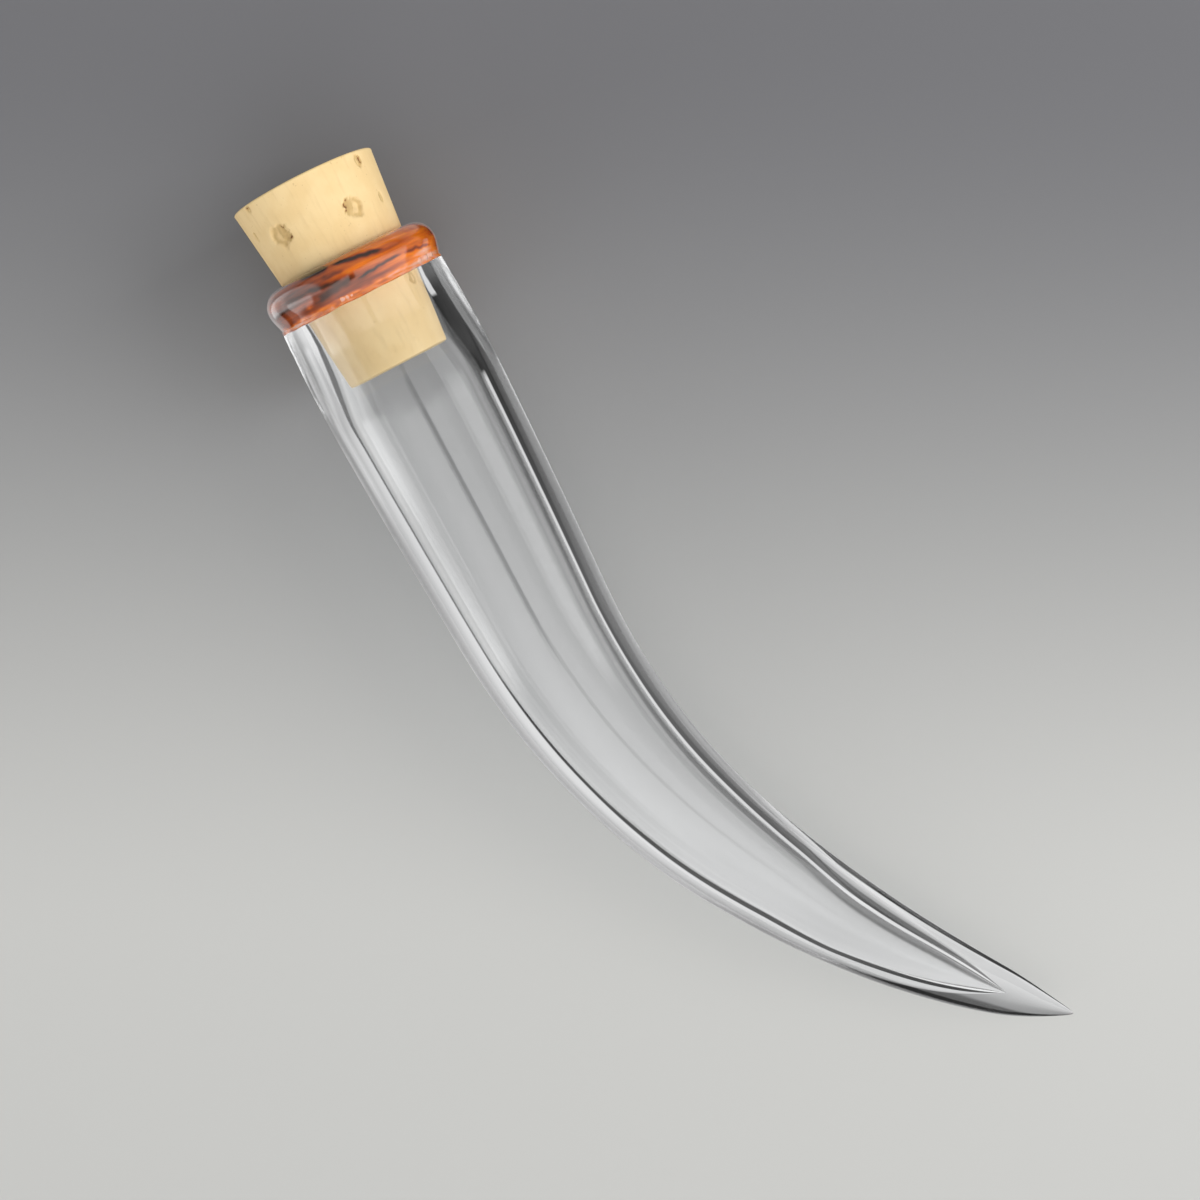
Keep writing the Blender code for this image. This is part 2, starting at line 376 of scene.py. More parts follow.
# Each streak in it: the degrees where it starts and ends, its paths there, its width and how much lighter it
# is. Its edges wander, and it narrows over the last part of each end
STREAK_WANDER = 0.00018
STREAK_WANDER_SIZE = 0.12
STREAK_END = 0.25
STREAK_END_WIDTH = 0.35
STREAK_SHARPNESS = 2.5
LIP_STREAKS = [
    (122.0, 96.0, 0.0009, 0.0016, 0.00075, -1.0),
    (98.0, 60.0, 0.0015, 0.0030, 0.00045, -0.80),
    (88.0, 50.0, 0.0046, 0.0042, 0.00022, -0.55),
    (118.0, 92.0, 0.0033, 0.0040, 0.00040, -0.36),
    (106.0, 88.0, 0.0028, 0.0030, 0.00040, -0.20),
    (124.0, 108.0, 0.0050, 0.0046, 0.00045, 0.30),
    (54.0, 22.0, 0.0043, 0.0047, 0.00030, -0.42),
    (60.0, 18.0, 0.0012, 0.0016, 0.00080, 0.22),
    (176.0, 128.0, 0.0024, 0.0034, 0.00110, 0.16),
    (122.0, 82.0, 0.0050, 0.0040, 0.00070, -0.36),
    (-20.0, -75.0, 0.0022, 0.0034, 0.00060, -0.90),
    (-95.0, -150.0, 0.0038, 0.0014, 0.00055, -0.80),
    (-110.0, -165.0, 0.0048, 0.0044, 0.00030, -0.60),
]

# Bubbles along its lower edge: degrees and size
BUBBLES_AT = -0.0002
BUBBLE_HEIGHT = 0.00016
BUBBLE_TONE = 0.6
LIP_BUBBLES = [
    (98.8, 0.00030),
    (95.5, 0.00022),
    (92.6, 0.00016),
    (40.0, 0.00030),
    (33.0, 0.00038),
    (25.0, 0.00030),
]


def lip_outline():
    """The ring's section, from its bore's foot over the crown to its lower edge."""
    outer = neck_radius() + LIP_OVERHANG
    top_bore = seat_radius(-LIP_HEIGHT)
    points = [(LIP_SUNK, seat_radius(0.0) + BORE_FOOT_OUT, 0.0), (0.0, seat_radius(0.0), 0.0)]
    for distance in BORE_STATIONS:
        points.append((distance, seat_radius(distance), 0.0))
    for i in range(MOUTH_EDGE_STEPS + 1):
        turn = math.pi / 2 * i / MOUTH_EDGE_STEPS
        distance = -(LIP_HEIGHT - MOUTH_EDGE) - MOUTH_EDGE * math.sin(turn)
        points.append((distance, top_bore + MOUTH_EDGE * (1.0 - math.cos(turn)), 0.0))
    for i in range(CROWN_STEPS + 1):
        turn = math.pi / 2 * i / CROWN_STEPS
        distance = -(LIP_HEIGHT - CROWN) - CROWN * math.cos(turn)
        points.append((distance, outer - CROWN + CROWN * math.sin(turn), CROWN * turn))
    heel = neck_radius() - HEEL_IN
    side = LIP_HEIGHT - CROWN + LIP_SUNK
    for i in range(1, SIDE_STEPS + 1):
        t = i / SIDE_STEPS
        radius = outer + (heel - outer) * eased(t) ** SIDE_CURVE
        points.append((CROWN - LIP_HEIGHT + side * t, radius, CROWN * math.pi / 2 + side * t))
    points.append((LIP_SUNK + FOOT_DOWN, heel - FOOT_IN, CROWN * math.pi / 2 + side))
    return points


def lip_tone(angle, path):
    """How light the coloured glass is, near black at 0, orange at 0.8 and pale at 1, with painted light on one
    side.
    """
    around = (BANDS_AROUND * math.cos(angle), BANDS_AROUND * math.sin(angle))
    # The cosine round the ring is painted light, lightest on the side towards the key lamp
    tone = TONE_MIDDLE + PAINTED_LIT_SIDE_TONE * math.cos(angle - PAINTED_LIT_SIDE_AT) - TONE_DEEPENS * (path / LIP_PATH)
    tone += BAND_STRENGTH * wave(7, 1.0, *around, path / BAND_WIDTH)
    for start, end, first, last, width, lighter in LIP_STREAKS:
        middle = turned(angle, (start + end) / 2)
        half = math.radians(abs(end - start)) / 2
        if abs(middle) > half:
            continue
        t = 0.5 + 0.5 * middle / half * math.copysign(1.0, end - start)
        ends = eased(t / STREAK_END) * eased((1.0 - t) / STREAK_END)
        centre = first + (last - first) * t + STREAK_WANDER * wave(8, STREAK_WANDER_SIZE, *around, 0.0)
        wide = width * (STREAK_END_WIDTH + (1.0 - STREAK_END_WIDTH) * ends)
        tone += lighter * ends * math.exp(-(((path - centre) / wide) ** 2) * STREAK_SHARPNESS)
    return tone


def lip_bubble(distance, radius, angle):
    """How high a point of the ring stands in one of its bubbles, from 0 to 1."""
    height = 0.0
    for degrees, size in LIP_BUBBLES:
        off = math.hypot(turned(angle, degrees) * radius, distance - BUBBLES_AT) / size
        height = max(height, math.sqrt(max(0.0, 1.0 - off * off)))
    return height


def make_lip():
    """The coloured ring: hand-wound, so its crown and its lower edge are not quite even."""
    rings = []
    tones = []
    for i in range(LIP_STEPS):
        angle = 2.0 * math.pi * i / LIP_STEPS
        ring = []
        for distance, radius, path in lip_outline():
            outside = eased((radius - seat_radius(distance) - OUTSIDE_FROM) / OUTSIDE_OVER)
            here = (math.cos(angle), math.sin(angle), distance / NOISE_LENGTH)
            bulge = BULGE_HEIGHT * outside * (wave(3, BULGE_SIZE, *here) - BULGE_TOP)
            lower = eased((distance + RAGGED_OVER) / RAGGED_OVER)
            ragged = RAGGED_HEIGHT * outside * lower * wave(4, RAGGED_SIZE, here[0], here[1], 0.0)
            bubble = lip_bubble(distance, radius, angle) if outside > 0.5 else 0.0
            bulge = min(bulge + BUBBLE_HEIGHT * bubble, 0.0)
            tone = lip_tone(angle, path)
            patch = PALE_MIDDLE + PALE_PATCHES * wave(9, PALE_PATCH_SIZE, *here)
            pale = eased((distance + PALE_OVER) / PALE_OVER) * patch
            tone += max(pale, 0.0) * (PALE_TONE - tone) + BUBBLE_TONE * bubble
            tones.append(min(max(tone, 0.0), 1.0))
            ring.append(around_mouth(distance + ragged, radius + bulge, angle))
        rings.append(ring)
    return skinned("amber_lip_ring", rings, closed=True, tones=tones)


# The cork
CORK_STEPS = 360
CORK_EDGE = 0.0002
CORK_EDGE_STEPS = 4
CORK_FACE_RINGS = 36
CORK_SIDE_RINGS = 150

# Its pits. Each has an uneven outline and floor and a crack along one side. Painted shade darkens its floor,
# more near its crack, and a band at its other side. The crack's dark is partly its own brown and partly
# painted shade. Places in a pit are shares of its size, from 0 in its middle to 1 at its edge
PIT_SEED_STEP = 0.001
PIT_WOBBLE = 0.30
PIT_WOBBLE_SIZE = 0.0009
PIT_FRAY = 0.14
PIT_FRAY_SIZE = 0.0003
PIT_SLOPE = 0.30
PIT_FLOOR = 0.75
PIT_FLOOR_WAVE = 0.5
PIT_FLOOR_SIZE = 0.0006
PIT_PAINTED_SHADE = 0.16
NEAR_CRACK_FROM = -0.1
NEAR_CRACK_OVER = 0.6
NEAR_CRACK_PAINTED_SHADE = 0.34
CRACK_AT = 0.80
CRACK_WIDTH = 0.17
CRACK_FROM = 0.35
CRACK_OVER = 0.35
CRACK_WHOLE = 0.55
CRACK_GAPS = 1.6
CRACK_GAP_SIZE = 0.0004
CRACK_DEPTH = 0.6
FAR_SIDE_AT = 0.62
FAR_SIDE_WIDTH = 0.24
FAR_SIDE_FROM = 0.45
FAR_SIDE_OVER = 0.6
FAR_SIDE_PAINTED_SHADE = 0.34

# Each pit has its distance along the horn, its degrees round it, its length, width and depth, and the side
# that its crack is on: 0 degrees is along the horn, and 90 degrees is round it
CORK_PITS = [
    (-0.00989, 123.8, 0.0030, 0.0030, 0.00036, 258.0),
    (-0.00910, 59.6, 0.0029, 0.0028, 0.00040, 111.0),
    (-0.01365, 36.9, 0.0015, 0.0012, 0.00025, 250.0),
    (-0.00906, 26.9, 0.0017, 0.0008, 0.00016, 90.0),
    (-0.01117, 149.8, 0.0012, 0.0006, 0.00030, 200.0),
    (-0.01424, 137.5, 0.0009, 0.0009, 0.00020, 180.0),
    (0.00118, 39.1, 0.0020, 0.0011, 0.00012, 90.0),
    (0.00307, 26.0, 0.0012, 0.0006, 0.00012, 90.0),
    (-0.01210, 207.0, 0.0024, 0.0020, 0.00035, 20.0),
    (-0.00830, 251.0, 0.0016, 0.0024, 0.00030, 140.0),
    (-0.01260, 303.0, 0.0026, 0.0022, 0.00038, 70.0),
    (-0.00720, 332.0, 0.0014, 0.0010, 0.00022, 200.0),
    (0.00400, 228.0, 0.0022, 0.0016, 0.00012, 10.0),
]

# Pores in its two ends: across and up from the middle, as shares of the radius, and size
PORE_DEPTH = 0.0003
PORE_TONE = 0.8
PORE_FLATNESS = 1.7
PORE_SPAN = 0.6
PORE_SLOPE = 0.25
PORE_WOBBLE = 0.35
PORE_WOBBLE_SIZE = 0.0007
CORK_PORES = [
    (0.30, 0.42, 0.0011),
    (-0.48, 0.20, 0.0008),
    (0.08, -0.36, 0.0013),
    (-0.22, -0.64, 0.0007),
    (0.66, -0.14, 0.0009),
]


def cork_pit(distance, angle):
    """How far a point of the cork's side is sunk by its pits, and how dark it is painted there, from 0 to 1."""
    sunk = 0.0
    shade_and_marks = 0.0
    around = cork_radius(distance)
    for at, degrees, length, width, depth, crack in CORK_PITS:
        turn = turned(angle, degrees)
        if abs(turn) * around > width or abs(distance - at) > length:
            continue
        here = (distance, turn * around, degrees * PIT_SEED_STEP)
        ahead = (distance - at) / (length / 2)
        aside = turn * around / (width / 2)
        off = math.hypot(ahead, aside)
        off += PIT_WOBBLE * wave(5, PIT_WOBBLE_SIZE, *here)
        off += PIT_FRAY * wave(6, PIT_FRAY_SIZE, *here)
        pit = eased((1.0 - off) / PIT_SLOPE)
        pit *= PIT_FLOOR + PIT_FLOOR_WAVE * wave(7, PIT_FLOOR_SIZE, *here)
        towards = math.cos(math.atan2(aside, ahead) - math.radians(crack))
        # The crack is sunk and darkened: partly the cork's own brown, partly painted shade in the crease
        cracked = bell(off, CRACK_AT, CRACK_WIDTH) * eased((towards - CRACK_FROM) / CRACK_OVER)
        cracked *= eased(CRACK_WHOLE + CRACK_GAPS * wave(8, CRACK_GAP_SIZE, *here))
        painted_far_side_shade = bell(off, FAR_SIDE_AT, FAR_SIDE_WIDTH) * eased((FAR_SIDE_FROM - towards) / FAR_SIDE_OVER)
        sunk = max(sunk, depth * pit + CRACK_DEPTH * depth * cracked)
        near_crack = eased((towards - NEAR_CRACK_FROM) / NEAR_CRACK_OVER)
        # Painted shade on the pit's floor, deeper near its crack, and a painted shade band at its far side
        painted_floor_shade = (PIT_PAINTED_SHADE + NEAR_CRACK_PAINTED_SHADE * near_crack) * pit
        shade_and_marks = max(shade_and_marks, painted_floor_shade, FAR_SIDE_PAINTED_SHADE * painted_far_side_shade, cracked)
    return sunk, min(shade_and_marks, 1.0)


def cork_pore(across, upward):
    """The same for a point of the cork's ends, by its shares of the radius."""
    sunk = 0.0
    for at, height, size in CORK_PORES:
        radius = CORK_TOP_DIAMETER / 2
        here = ((across - at) * radius, (upward - height) * radius)
        off = math.hypot(here[0] / size, here[1] / size * PORE_FLATNESS)
        off += PORE_WOBBLE * wave(9, PORE_WOBBLE_SIZE, *here, at)
        sunk = max(sunk, eased((PORE_SPAN - off) / PORE_SLOPE))
    return sunk * PORE_DEPTH, PORE_TONE * sunk


def cork_outline():
    """The cork's section: distance, radius and where that is, -1 and 1 on its ends and 0 on its side."""
    top = CORK_TOP_AT + CORK_INSET
    bottom = CORK_BOTTOM_AT
    outline = []
    for i in range(1, CORK_FACE_RINGS):
        outline.append((top, (cork_radius(top) - CORK_EDGE) * i / CORK_FACE_RINGS, -1))
    for i in range(CORK_EDGE_STEPS + 1):
        turn = math.pi / 2 * i / CORK_EDGE_STEPS
        radius = cork_radius(top) - CORK_EDGE + CORK_EDGE * math.sin(turn)
        outline.append((top + CORK_EDGE - CORK_EDGE * math.cos(turn), radius, 0))
    for i in range(1, CORK_SIDE_RINGS):
        distance = top + CORK_EDGE + (CORK_LENGTH - 2.0 * CORK_EDGE) * i / CORK_SIDE_RINGS
        outline.append((distance, cork_radius(distance), 0))
    for i in range(CORK_EDGE_STEPS + 1):
        turn = math.pi / 2 * i / CORK_EDGE_STEPS
        radius = cork_radius(bottom) - CORK_EDGE + CORK_EDGE * math.cos(turn)
        outline.append((bottom - CORK_EDGE + CORK_EDGE * math.sin(turn), radius, 0))
    for i in range(CORK_FACE_RINGS - 1, 0, -1):
        outline.append((bottom, (cork_radius(bottom) - CORK_EDGE) * i / CORK_FACE_RINGS, 1))
    return outline


def make_cork():
    """The cork: a turned and tapered plug with pits in its side and pores in its ends."""
    rings = [[around_mouth(CORK_TOP_AT + CORK_INSET, 0.0, 0.0)]]
    tones = [0.0]
    for distance, radius, end in cork_outline():
        ring = []
        for i in range(CORK_STEPS):
            angle = 2.0 * math.pi * i / CORK_STEPS
            if end:
                share = radius / cork_radius(distance)
                sunk, shade_and_marks = cork_pore(share * math.cos(angle), share * math.sin(angle) * end)
                ring.append(around_mouth(distance - end * sunk, radius, angle))
            else:
                sunk, shade_and_marks = cork_pit(distance, angle)
                ring.append(around_mouth(distance, radius - sunk, angle))
            tones.append(shade_and_marks)
        rings.append(ring)
    rings.append([around_mouth(CORK_BOTTOM_AT, 0.0, 0.0)])
    tones.append(0.0)
    return skinned("cork_plug", rings, closed=False, tones=tones)


def new_tree(name):
    """An empty node material and its tree."""
    material = bpy.data.materials.new(name)
    material.use_nodes = True
    material.node_tree.nodes.clear()
    return material, material.node_tree


def add(tree, kind, **settings):
    """A new node with its settings."""
    made = tree.nodes.new(kind)
    for setting, value in settings.items():
        setattr(made, setting, value)
    return made


def feed(tree, socket, value):
    """Sets an input to a number, a colour or another node's output."""
    if isinstance(value, bpy.types.NodeSocket):
        tree.links.new(value, socket)
    else:
        socket.default_value = value


def maths(tree, operation, first, second=0.0, third=0.0):
    """A Math node's result."""
    made = add(tree, "ShaderNodeMath", operation=operation)
    for socket, value in zip(made.inputs, (first, second, third), strict=True):
        feed(tree, socket, value)
    return made.outputs[0]


def ramp(tree, value, low, high, low_to=0.0, high_to=1.0):
    """A value mapped smoothly from one range to another and kept inside it."""
    made = add(tree, "ShaderNodeMapRange", interpolation_type="SMOOTHSTEP")
    given = {"Value": value, "From Min": low, "From Max": high, "To Min": low_to, "To Max": high_to}
    for name, setting in given.items():
        feed(tree, made.inputs[name], setting)
    return made.outputs["Result"]


def fall(tree, value, low, high):
    """1 below a range and 0 above it."""
    return ramp(tree, value, low, high, 1.0, 0.0)


def product(tree, first, *others):
    """Values multiplied by each other."""
    for other in others:
        first = maths(tree, "MULTIPLY", first, other)
    return first


def window(tree, value, low, high, edge, high_edge=None):
    """1 between two values and 0 beyond them, with soft edges."""
    high_edge = edge if high_edge is None else high_edge
    rise = ramp(tree, value, low - edge, low + edge)
    return product(tree, rise, fall(tree, value, high - high_edge, high + high_edge))


def blended(tree, factor, first, second):
    """Two colours mixed by a factor."""
    made = add(tree, "ShaderNodeMix", data_type="RGBA")
    feed(tree, made.inputs[0], factor)
    feed(tree, made.inputs[6], first)
    feed(tree, made.inputs[7], second)
    return made.outputs[2]


def blended_value(tree, factor, first, second):
    """Two numbers mixed by a factor."""
    made = add(tree, "ShaderNodeMix", data_type="FLOAT")
    feed(tree, made.inputs[0], factor)
    feed(tree, made.inputs[2], first)
    feed(tree, made.inputs[3], second)
    return made.outputs[0]


def kept(tree, name, output):
    """One of the values that the mesh keeps at its points."""
    return add(tree, "ShaderNodeAttribute", attribute_name=name).outputs[output]


def show(tree, shader, output="ShaderNodeOutputMaterial"):
    """Makes a shader the surface of its material or its world."""
    tree.links.new(shader.outputs[0], add(tree, output).inputs["Surface"])


def noised(tree, scale, detail=3.0, stretch=(1.0, 1.0, 1.0)):
    """Noise over the piece, in the horn's frame."""
    stretched = add(tree, "ShaderNodeMapping")
    stretched.inputs["Scale"].default_value = stretch
    tree.links.new(kept(tree, "place", "Vector"), stretched.inputs["Vector"])
    made = add(tree, "ShaderNodeTexNoise")
    tree.links.new(stretched.outputs[0], made.inputs["Vector"])
    made.inputs["Scale"].default_value = scale
    made.inputs["Detail"].default_value = detail
    return made.outputs["Fac"]


# The clear glass, and how much light its middle and its edges let through to its shadow
GLASS_COLOUR = (0.985, 0.99, 0.992, 1.0)
THROUGH_MIDDLE = (0.97, 0.975, 0.98, 1.0)
THROUGH_EDGES = (0.55, 0.56, 0.57, 1.0)


def clear_glass():
    """Clear glass that lamps shine through, less so at its edges, so that its shadow has dark rims."""
    material, tree = new_tree("clear_glass")
    glass = add(tree, "ShaderNodeBsdfPrincipled")
    glass.inputs["Base Color"].default_value = GLASS_COLOUR
    glass.inputs["Roughness"].default_value = 0.0
    glass.inputs["IOR"].default_value = 1.47
    glass.inputs["Transmission Weight"].default_value = 1.0
    facing = add(tree, "ShaderNodeLayerWeight")
    facing.inputs["Blend"].default_value = 0.3
    passing = blended(tree, facing.outputs["Facing"], THROUGH_MIDDLE, THROUGH_EDGES)
    lamps = add(tree, "ShaderNodeBsdfTransparent")
    tree.links.new(passing, lamps.inputs["Color"])
    path = add(tree, "ShaderNodeLightPath")
    unseen = maths(tree, "MAXIMUM", path.outputs["Is Shadow Ray"], path.outputs["Is Diffuse Ray"])
    mix = add(tree, "ShaderNodeMixShader")
    tree.links.new(unseen, mix.inputs[0])
    tree.links.new(glass.outputs[0], mix.inputs[1])
    tree.links.new(lamps.outputs[0], mix.inputs[2])
    show(tree, mix)
    return material


# The coloured glass from its darkest tone to its palest, and the fine bands that vary the tone of a point
FINE_BANDS = 0.55
FINE_BANDS_STRETCH = (1900.0, 190.0, 190.0)
AMBER_TONES = [
    (0.00, (0.030, 0.012, 0.008)),
    (0.22, (0.085, 0.024, 0.010)),
    (0.42, (0.240, 0.045, 0.010)),
    (0.60, (0.480, 0.090, 0.010)),
    (0.80, (0.800, 0.200, 0.012)),
    (1.00, (0.760, 0.400, 0.290)),
]


def amber_glass():
    """Streaked amber glass: bands of orange, red-brown and near black wound round the mouth."""
    material, tree = new_tree("amber_glass")
    fine = maths(tree, "SUBTRACT", noised(tree, 1.0, stretch=FINE_BANDS_STRETCH), 0.5)
    tone = maths(tree, "MULTIPLY_ADD", fine, FINE_BANDS, kept(tree, "tone", "Fac"))
    colours = add(tree, "ShaderNodeValToRGB")
    band = colours.color_ramp
    band.elements[0].color = (*AMBER_TONES[0][1], 1.0)
    band.elements[1].color = (*AMBER_TONES[-1][1], 1.0)
    for position, colour in AMBER_TONES[1:-1]:
        band.elements.new(position).color = (*colour, 1.0)
    tree.links.new(tone, colours.inputs[0])
    glass = add(tree, "ShaderNodeBsdfPrincipled")
    tree.links.new(colours.outputs["Color"], glass.inputs["Base Color"])
    glass.inputs["Roughness"].default_value = 0.12
    glass.inputs["IOR"].default_value = 1.50
    glass.inputs["Coat Weight"].default_value = 0.8
    glass.inputs["Coat Roughness"].default_value = 0.03
    glass.inputs["Subsurface Weight"].default_value = 0.25
    glass.inputs["Subsurface Radius"].default_value = (1.0, 0.3, 0.1)
    glass.inputs["Subsurface Scale"].default_value = 0.0012
    show(tree, glass)
    return material


# The cork's two base colours, and what is laid over them: its colour, its strength at most, and the values
# of its noise, or of the tone of the pits, between which it comes in
CORK_DEEP = (0.890, 0.650, 0.325, 1.0)
CORK_PALE = (0.930, 0.700, 0.370, 1.0)
BLOTCH_SCALE = 330.0
BLOTCH_RANGE = (0.35, 0.68)
GRAIN_COLOUR = (0.62, 0.42, 0.20, 1.0)
GRAIN_STRENGTH = 0.16
GRAIN_RANGE = (0.50, 0.75)
GRAIN_DETAIL = 4.0
GRAIN_STRETCH = (220.0, 1700.0, 1700.0)
SPECK_COLOUR = (0.52, 0.33, 0.15, 1.0)
SPECK_STRENGTH = 0.35
SPECK_RANGE = (0.70, 0.80)
SPECK_SCALE = 2600.0
SPECK_DEPTH = 0.6
# Painted shade in the pits, olive-tan, for the low tones of the pits
PIT_SHADE_COLOUR = (0.59, 0.40, 0.16, 1.0)
PIT_SHADE_STRENGTH = 0.8
PIT_SHADE_RANGE = (0.0, 0.36)
# The darkest brown: cracks and pores, partly their own colour and partly painted shade, and the pits' deepest
# painted shade
CRACK_PORE_AND_DEEP_SHADE_COLOUR = (0.22, 0.075, 0.024, 1.0)
CRACK_PORE_AND_DEEP_SHADE_RANGE = (0.36, 0.85)


def cork_finish():
    """Natural cork: pale tan with a faint lengthwise grain, fine specks, and painted shade and dark cracks in its
    pits.
    """
    material, tree = new_tree("cork")
    colour = blended(tree, ramp(tree, noised(tree, BLOTCH_SCALE), *BLOTCH_RANGE), CORK_DEEP, CORK_PALE)
    grain = noised(tree, 1.0, GRAIN_DETAIL, GRAIN_STRETCH)
    colour = blended(tree, ramp(tree, grain, *GRAIN_RANGE, 0.0, GRAIN_STRENGTH), colour, GRAIN_COLOUR)
    speck = noised(tree, SPECK_SCALE, 1.0)
    colour = blended(tree, ramp(tree, speck, *SPECK_RANGE, 0.0, SPECK_STRENGTH), colour, SPECK_COLOUR)
    tone = kept(tree, "tone", "Fac")
    colour = blended(tree, ramp(tree, tone, *PIT_SHADE_RANGE, 0.0, PIT_SHADE_STRENGTH), colour, PIT_SHADE_COLOUR)
    colour = blended(tree, ramp(tree, tone, *CRACK_PORE_AND_DEEP_SHADE_RANGE), colour, CRACK_PORE_AND_DEEP_SHADE_COLOUR)
    cork = add(tree, "ShaderNodeBsdfPrincipled")
    tree.links.new(colour, cork.inputs["Base Color"])
    cork.inputs["Roughness"].default_value = 0.72
    cork.inputs["Specular IOR Level"].default_value = 0.3
    bump = add(tree, "ShaderNodeBump")
    bump.inputs["Strength"].default_value = 0.20
    bump.inputs["Distance"].default_value = 0.0001
    relief = maths(tree, "SUBTRACT", grain, product(tree, speck, SPECK_DEPTH))
    tree.links.new(relief, bump.inputs["Height"])
    tree.links.new(bump.outputs[0], cork.inputs["Normal"])
    show(tree, cork)
    return material


# The floor and the lamp
FLOOR_SIZE = 3.0
FLOOR_DROP = 0.00002
FLOOR_SHADE_FADE = (-0.05, 0.085)
FLOOR_PALE = (0.61, 0.61, 0.59, 1.0)
FLOOR_PAINTED_SHADE = (0.17, 0.17, 0.18, 1.0)
KEY_PLACE = (0.02, 0.60, 0.42)
KEY_SIZE = 0.30
KEY_POWER = 2.0


def view_axes():
    """The photograph's right, upward and forward directions, in the row frame."""
    forward = (HORN_TURN @ CAMERA_FORWARD).normalized()
    right = HORN_TURN @ CAMERA_RIGHT
    right = (right - forward * right.dot(forward)).normalized()
    return right, right.cross(forward), forward


def along(tree, direction, axis):
    """How far a direction points along an axis."""
    made = add(tree, "ShaderNodeVectorMath", operation="DOT_PRODUCT")
    tree.links.new(direction, made.inputs[0])
    made.inputs[1].default_value = tuple(axis)
    return made.outputs["Value"]


def make_floor():
    """A pale floor that the glass neither bends nor mirrors, with painted shade deepening it to grey behind the
    mouth.
    """
    mesh = bpy.data.meshes.new("floor")
    half = FLOOR_SIZE / 2
    corners = [(x * half, y * half, -FLOOR_DROP) for x, y in ((-1, -1), (1, -1), (1, 1), (-1, 1))]
    mesh.from_pydata(corners, [], [(0, 1, 2, 3)])
    floor = bpy.data.objects.new("floor", mesh)
    bpy.context.scene.collection.objects.link(floor)
    material, tree = new_tree("floor")
    place = add(tree, "ShaderNodeTexCoord").outputs["Object"]
    upward = view_axes()[1]
    towards_painted_shade = along(tree, place, (upward.x, upward.y, 0.0))
    # Painted falloff of light: the floor darkens to grey towards the top of the view, behind the mouth
    colour = blended(tree, ramp(tree, towards_painted_shade, *FLOOR_SHADE_FADE), FLOOR_PALE, FLOOR_PAINTED_SHADE)
    shader = add(tree, "ShaderNodeBsdfPrincipled")
    tree.links.new(colour, shader.inputs["Base Color"])
    shader.inputs["Roughness"].default_value = 0.8
    show(tree, shader)
    mesh.materials.append(material)
    floor.visible_transmission = False
    floor.visible_glossy = False


# The studio's light by direction. A direction is measured by its shares along some axes: ahead is along the
# tube, across is to the bend's side, height is upward, lifted is up in the photograph's view, and steep is
# upward and slightly back over the cork. A pair is where something starts and ends, or fades in or out
BACKGROUND_LEVEL = 0.75
HORIZON = (-0.01, 0.03)

# Above the horizon, a dim dome with a dark seam, and panels: the range across of each, the softness of its
# two edges there, its range ahead and its level
DOME_LEVEL = 0.24
SEAM_ACROSS = (-0.030, 0.100)
SEAM_EDGE = 0.01
SEAM_STARTS = (0.01, 0.04)
SEAM_ENDS = (0.33, 0.43)
PANEL_END_EDGE = 0.06
PANELS = [
    ((-0.70, 1.10), (0.20, 0.03), (0.02, 1.10), 0.9),
    ((-0.45, 0.45), (0.10, 0.10), (0.02, 0.75), 0.7),
    ((0.45, 1.10), (0.15, 0.03), (-0.08, 0.80), 1.0),
    ((-1.10, -0.80), (0.015, 0.015), (-0.10, 0.40), 2.4),
]

# Below it, the graded sweep of paper that the glass shows, with two glows, and the dark beyond its top and
# its right, with a light strip and two grey corners
PAPER_PALE = 0.82
PAPER_DEEP = 0.28
PAPER_FADE = (-0.62, 0.30)
PAPER_TOP = (-0.55, -0.49)
PAPER_TOP_SLOPE = 0.20
PAPER_RIGHT = (0.30, 0.38)
LEFT_GLOW = 0.15
LEFT_GLOW_FADE = (-0.60, -0.25)
MOUTH_GLOW = 0.25
MOUTH_GLOW_ACROSS = (-0.58, -0.26)
MOUTH_GLOW_EDGE = 0.08
MOUTH_GLOW_ENDS = (0.12, 0.20)
DARK_LEVEL = 0.02
DARK_RIGHT_LEVEL = 0.11
DARK_RIGHT_FADE = (0.10, 0.35)
STRIP_LEVEL = 0.85
STRIP_ACROSS = (0.76, 0.89)
STRIP_EDGE = 0.02
STRIP_STARTS = (0.0, 0.08)
LOW_LEFT_LEVEL = 0.50
LOW_LEFT_ACROSS = (-0.78, -0.68)
LOW_LEFT_HEIGHT = (-0.26, -0.14)
FAR_RIGHT_LEVEL = 0.42
FAR_RIGHT_ACROSS = (0.89, 0.94)

# Behind the cork, a grey with a darker part near the horizon
BEHIND_LEVEL = 0.52
BEHIND_AHEAD = (-0.45, -0.35)
BEHIND_DIP = 0.34
BEHIND_DIP_HEIGHT = (-0.13, 0.04)
BEHIND_DIP_EDGE = 0.05

# The sheen, which only mirrored rays see
SHEEN_LEVEL = 1.4
SHEEN_ACROSS = (-1.10, -0.62)
SHEEN_AHEAD = (-0.80, 0.06)
SHEEN_EDGE = 0.05


def dome_level(tree, ahead, across):
    """The light above the horizon."""
    level = DOME_LEVEL
    for sides, edges, ends, brightness in PANELS:
        panel = window(tree, across, *sides, *edges)
        panel = product(tree, panel, window(tree, ahead, *ends, PANEL_END_EDGE), brightness)
        level = maths(tree, "ADD", level, panel)
    seam = window(tree, across, *SEAM_ACROSS, SEAM_EDGE)
    seam = product(tree, seam, ramp(tree, ahead, *SEAM_STARTS), fall(tree, ahead, *SEAM_ENDS))
    return product(tree, level, maths(tree, "SUBTRACT", 1.0, seam))


